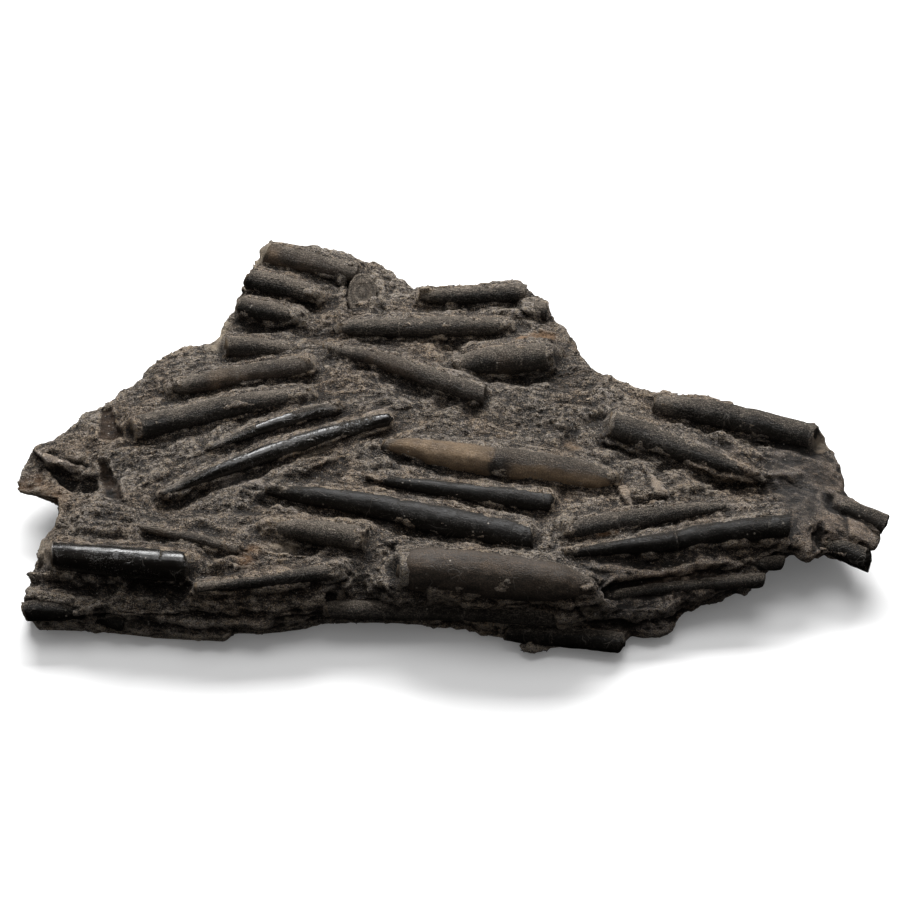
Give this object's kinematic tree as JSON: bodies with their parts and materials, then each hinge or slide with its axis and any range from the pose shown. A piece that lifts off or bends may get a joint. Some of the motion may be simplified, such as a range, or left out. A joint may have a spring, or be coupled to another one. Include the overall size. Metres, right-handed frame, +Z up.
{
  "type": "belemnite fossil slab",
  "caption": "Loose slab of dark marl crowded with belemnite guards lying side by side in relief, resting on its flat underside.",
  "frame": {"origin": "on the floor plane under the middle of the slab's box", "axes": "+X along the slab's length towards its narrow end, +Y towards its back edge, +Z up out of the bedding surface"},
  "size_m": [0.3702, 0.2238, 0.0411],
  "materials": {
    "matrix": "crumbly matte dark marl with lighter grains",
    "calcite_black": "near-black calcite, satin to glossy",
    "calcite_grey": "dark grey calcite with a thin dull rock film",
    "calcite_tan_brown": "warm brown calcite, satin",
    "calcite_dark_brown": "dark reddish brown calcite, satin"
  },
  "bodies": {
    "root": {"guard_back_left_1": "calcite_tan_brown", "guard_back_left_2": "calcite_grey", "guard_back_left_3": "calcite_grey", "guard_back_left_4": "calcite_dark_brown", "guard_back_middle": "calcite_black", "guard_back_corner": "calcite_black", "guard_level": "calcite_black", "guard_short": "calcite_grey", "guard_curved": "calcite_tan_brown", "guard_long_upper": "calcite_tan_brown", "guard_blunt": "calcite_black", "guard_thin": "calcite_black", "guard_polished": "calcite_black", "guard_brown": "calcite_tan_brown", "guard_dark": "calcite_black", "guard_black": "calcite_black", "guard_stout": "calcite_dark_brown", "guard_coated": "calcite_dark_brown", "guard_front_middle": "calcite_black", "guard_front_left": "calcite_black", "guard_slender": "calcite_dark_brown", "guard_tapering": "calcite_grey", "guard_lower_long": "calcite_black", "guard_back_right": "calcite_black", "guard_hollow": "calcite_grey", "guard_front_arch": "calcite_black", "guard_foot": "calcite_black", "guard_ledge_left": "calcite_black", "guard_ledge_low": "calcite_black", "guard_slope_right": "calcite_black", "guard_ledge_right": "calcite_grey", "guard_tail_upper": "calcite_dark_brown", "guard_tail_lower": "calcite_grey", "guard_on_end": "calcite_grey", "matrix": "matrix"}
  },
  "joints": []
}
